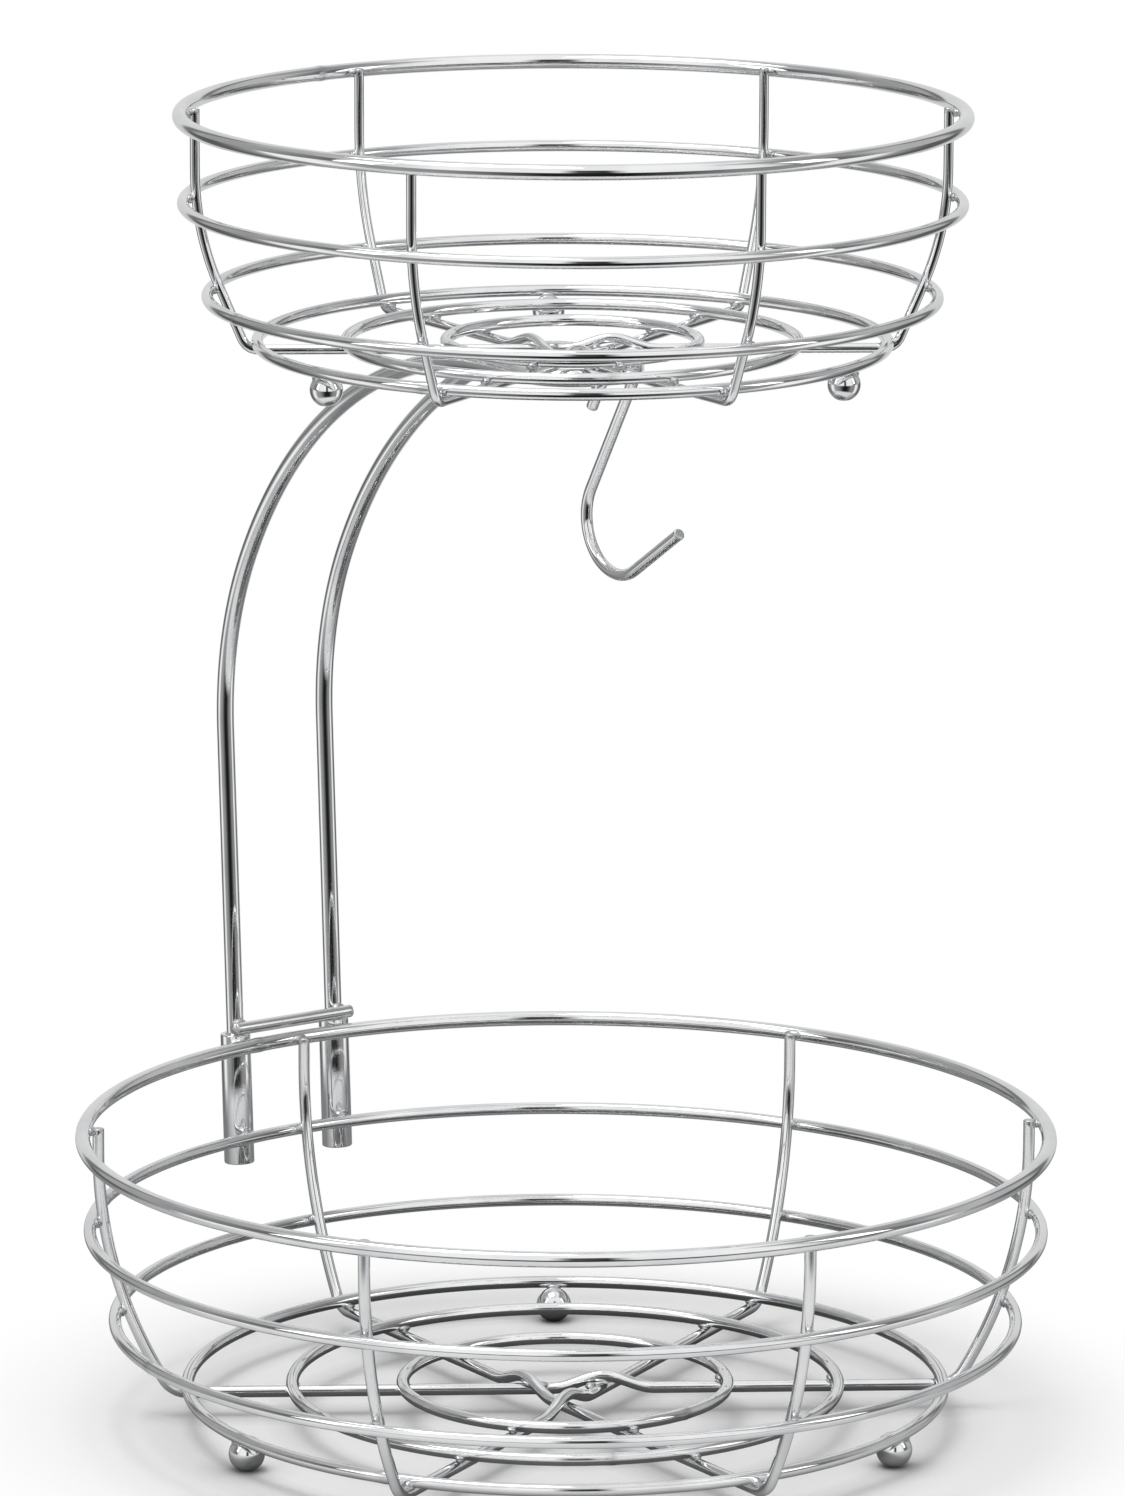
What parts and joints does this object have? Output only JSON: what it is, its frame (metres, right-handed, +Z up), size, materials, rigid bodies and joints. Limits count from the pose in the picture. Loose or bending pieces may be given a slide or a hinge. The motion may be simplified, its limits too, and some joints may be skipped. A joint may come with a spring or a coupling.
{
  "type": "two-tier fruit bowl",
  "caption": "Round chrome wire bowl with ball feet, carrying a bent rod stand, a smaller wire bowl above it and a hook below that bowl.",
  "frame": {"origin": "centre of the whole object's footprint, on the surface that the lower bowl's feet stand on", "axes": "+Z up, the stand at the back (+Y), the front of the bowls towards -Y"},
  "size_m": [0.3, 0.3118, 0.4068],
  "materials": {
    "rim_wire": "bright chrome plate on steel wire, mirror smooth",
    "ring_wire": "bright chrome plate on steel wire, mirror smooth",
    "rib_wire": "bright chrome plate on steel wire, mirror smooth",
    "ball_foot": "bright chrome plate on a steel ball",
    "sleeve": "bright chrome plate on steel tube",
    "stand": "bright chrome plate on steel rod, faint drawing lines along it",
    "hook": "bright chrome plate on steel wire, slightly worn inside the bend"
  },
  "bodies": {
    "lower_bowl": {"lower_rim": "rim_wire", "lower_middle_ring": "ring_wire", "lower_low_ring": "ring_wire", "lower_base_ring": "ring_wire", "lower_inner_ring": "ring_wire", "lower_centre_ring": "ring_wire", "lower_rib_a": "rib_wire", "lower_rib_b": "rib_wire", "lower_rib_c": "rib_wire", "lower_foot_a": "ball_foot", "lower_foot_b": "ball_foot", "lower_foot_c": "ball_foot", "sleeve_left": "sleeve", "sleeve_right": "sleeve"},
    "stand": {"stand_rod": "stand", "stop_bar": "stand", "banana_hook": "hook"},
    "upper_bowl": {"upper_rim": "rim_wire", "upper_middle_ring": "ring_wire", "upper_low_ring": "ring_wire", "upper_base_ring": "ring_wire", "upper_inner_ring": "ring_wire", "upper_centre_ring": "ring_wire", "upper_rib_a": "rib_wire", "upper_rib_b": "rib_wire", "upper_rib_c": "rib_wire", "upper_foot_a": "ball_foot", "upper_foot_b": "ball_foot", "upper_foot_c": "ball_foot"}
  },
  "joints": [
    {"name": "stand_lift", "type": "slide", "parent": "lower_bowl", "child": "stand", "axis": [0, 0.0488, 0.9988], "range_m": [0, 0.041]},
    {"name": "upper_bowl_lift", "type": "slide", "parent": "stand", "child": "upper_bowl", "axis": [0, 0, 1], "range_m": [0, 0.06]}
  ]
}
